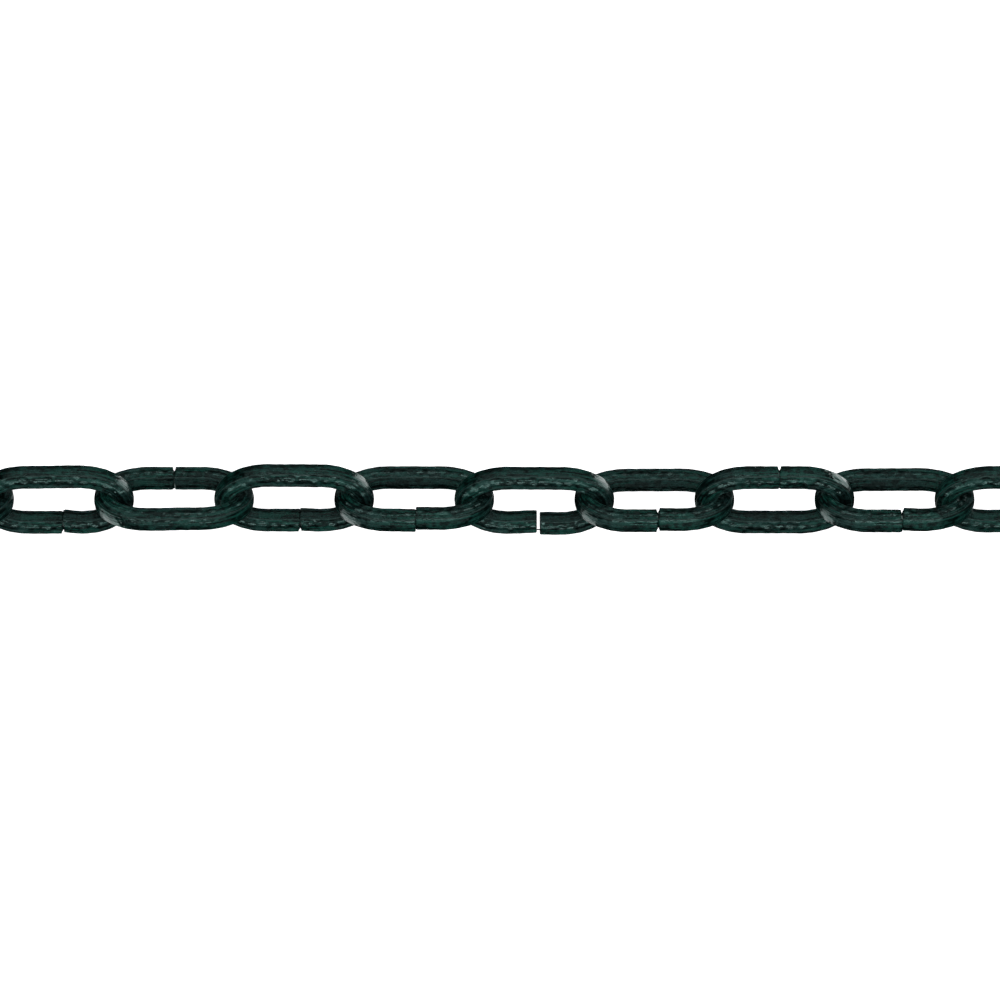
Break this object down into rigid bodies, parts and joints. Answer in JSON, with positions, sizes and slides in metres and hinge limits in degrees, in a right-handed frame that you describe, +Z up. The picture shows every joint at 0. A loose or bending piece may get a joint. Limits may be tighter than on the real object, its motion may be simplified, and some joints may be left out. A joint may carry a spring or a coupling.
{
  "type": "decorative chain",
  "caption": "Straight length of decorative chain: open oval links bent from hammered square bar, each turned a quarter from the next, dark lacquered.",
  "frame": {"origin": "middle of the length, on the floor, under the chain's axis", "axes": "+X along the chain, +Y towards the back, +Z up; the links lie at plus and minus 45 degrees to the floor"},
  "size_m": [1, 0.0212, 0.0209],
  "materials": {
    "lacquered_steel": "satin to gloss near-black lacquer with a green cast over hammered steel"
  },
  "bodies": {
    "link_01": {"link_01": "lacquered_steel"},
    "link_02": {"link_02": "lacquered_steel"},
    "link_03": {"link_03": "lacquered_steel"},
    "link_04": {"link_04": "lacquered_steel"},
    "link_05": {"link_05": "lacquered_steel"},
    "link_06": {"link_06": "lacquered_steel"},
    "link_07": {"link_07": "lacquered_steel"},
    "link_08": {"link_08": "lacquered_steel"},
    "link_09": {"link_09": "lacquered_steel"},
    "link_10": {"link_10": "lacquered_steel"},
    "link_11": {"link_11": "lacquered_steel"},
    "link_12": {"link_12": "lacquered_steel"},
    "link_13": {"link_13": "lacquered_steel"},
    "link_14": {"link_14": "lacquered_steel"},
    "link_15": {"link_15": "lacquered_steel"},
    "link_16": {"link_16": "lacquered_steel"},
    "link_17": {"link_17": "lacquered_steel"},
    "link_18": {"link_18": "lacquered_steel"},
    "link_19": {"link_19": "lacquered_steel"},
    "link_20": {"link_20": "lacquered_steel"},
    "link_21": {"link_21": "lacquered_steel"},
    "link_22": {"link_22": "lacquered_steel"},
    "link_23": {"link_23": "lacquered_steel"},
    "link_24": {"link_24": "lacquered_steel"},
    "link_25": {"link_25": "lacquered_steel"},
    "link_26": {"link_26": "lacquered_steel"}
  },
  "joints": [
    {"name": "seat_01_02", "type": "hinge", "parent": "link_01", "child": "link_02", "pos_m": [-0.45252, 0, 0.01029], "axis": [0, 0.7071, -0.7071], "range_deg": [-90, 90]},
    {"name": "seat_02_03", "type": "hinge", "parent": "link_02", "child": "link_03", "pos_m": [-0.41452, 0, 0.01029], "axis": [0, 0.7071, 0.7071], "range_deg": [-90, 90]},
    {"name": "seat_03_04", "type": "hinge", "parent": "link_03", "child": "link_04", "pos_m": [-0.37652, 0, 0.01029], "axis": [0, -0.7071, 0.7071], "range_deg": [-90, 90]},
    {"name": "seat_04_05", "type": "hinge", "parent": "link_04", "child": "link_05", "pos_m": [-0.33852, 0, 0.01029], "axis": [0, -0.7071, -0.7071], "range_deg": [-90, 90]},
    {"name": "seat_05_06", "type": "hinge", "parent": "link_05", "child": "link_06", "pos_m": [-0.30052, 0, 0.01029], "axis": [0, 0.7071, -0.7071], "range_deg": [-90, 90]},
    {"name": "seat_06_07", "type": "hinge", "parent": "link_06", "child": "link_07", "pos_m": [-0.26252, 0, 0.01029], "axis": [0, 0.7071, 0.7071], "range_deg": [-90, 90]},
    {"name": "seat_07_08", "type": "hinge", "parent": "link_07", "child": "link_08", "pos_m": [-0.22452, 0, 0.01029], "axis": [0, -0.7071, 0.7071], "range_deg": [-90, 90]},
    {"name": "seat_08_09", "type": "hinge", "parent": "link_08", "child": "link_09", "pos_m": [-0.18652, 0, 0.01029], "axis": [0, -0.7071, -0.7071], "range_deg": [-90, 90]},
    {"name": "seat_09_10", "type": "hinge", "parent": "link_09", "child": "link_10", "pos_m": [-0.14852, 0, 0.01029], "axis": [0, 0.7071, -0.7071], "range_deg": [-90, 90]},
    {"name": "seat_10_11", "type": "hinge", "parent": "link_10", "child": "link_11", "pos_m": [-0.11052, 0, 0.01029], "axis": [0, 0.7071, 0.7071], "range_deg": [-90, 90]},
    {"name": "seat_11_12", "type": "hinge", "parent": "link_11", "child": "link_12", "pos_m": [-0.07252, 0, 0.01029], "axis": [0, -0.7071, 0.7071], "range_deg": [-90, 90]},
    {"name": "seat_12_13", "type": "hinge", "parent": "link_12", "child": "link_13", "pos_m": [-0.03452, 0, 0.01029], "axis": [0, -0.7071, -0.7071], "range_deg": [-90, 90]},
    {"name": "seat_13_14", "type": "hinge", "parent": "link_13", "child": "link_14", "pos_m": [0.00348, 0, 0.01029], "axis": [0, 0.7071, -0.7071], "range_deg": [-90, 90]},
    {"name": "seat_14_15", "type": "hinge", "parent": "link_14", "child": "link_15", "pos_m": [0.04148, 0, 0.01029], "axis": [0, 0.7071, 0.7071], "range_deg": [-90, 90]},
    {"name": "seat_15_16", "type": "hinge", "parent": "link_15", "child": "link_16", "pos_m": [0.07948, 0, 0.01029], "axis": [0, -0.7071, 0.7071], "range_deg": [-90, 90]},
    {"name": "seat_16_17", "type": "hinge", "parent": "link_16", "child": "link_17", "pos_m": [0.11748, 0, 0.01029], "axis": [0, -0.7071, -0.7071], "range_deg": [-90, 90]},
    {"name": "seat_17_18", "type": "hinge", "parent": "link_17", "child": "link_18", "pos_m": [0.15548, 0, 0.01029], "axis": [0, 0.7071, -0.7071], "range_deg": [-90, 90]},
    {"name": "seat_18_19", "type": "hinge", "parent": "link_18", "child": "link_19", "pos_m": [0.19348, 0, 0.01029], "axis": [0, 0.7071, 0.7071], "range_deg": [-90, 90]},
    {"name": "seat_19_20", "type": "hinge", "parent": "link_19", "child": "link_20", "pos_m": [0.23148, 0, 0.01029], "axis": [0, -0.7071, 0.7071], "range_deg": [-90, 90]},
    {"name": "seat_20_21", "type": "hinge", "parent": "link_20", "child": "link_21", "pos_m": [0.26948, 0, 0.01029], "axis": [0, -0.7071, -0.7071], "range_deg": [-90, 90]},
    {"name": "seat_21_22", "type": "hinge", "parent": "link_21", "child": "link_22", "pos_m": [0.30748, 0, 0.01029], "axis": [0, 0.7071, -0.7071], "range_deg": [-90, 90]},
    {"name": "seat_22_23", "type": "hinge", "parent": "link_22", "child": "link_23", "pos_m": [0.34548, 0, 0.01029], "axis": [0, 0.7071, 0.7071], "range_deg": [-90, 90]},
    {"name": "seat_23_24", "type": "hinge", "parent": "link_23", "child": "link_24", "pos_m": [0.38348, 0, 0.01029], "axis": [0, -0.7071, 0.7071], "range_deg": [-90, 90]},
    {"name": "seat_24_25", "type": "hinge", "parent": "link_24", "child": "link_25", "pos_m": [0.42148, 0, 0.01029], "axis": [0, -0.7071, -0.7071], "range_deg": [-90, 90]},
    {"name": "seat_25_26", "type": "hinge", "parent": "link_25", "child": "link_26", "pos_m": [0.45948, 0, 0.01029], "axis": [0, 0.7071, -0.7071], "range_deg": [-90, 90]}
  ]
}
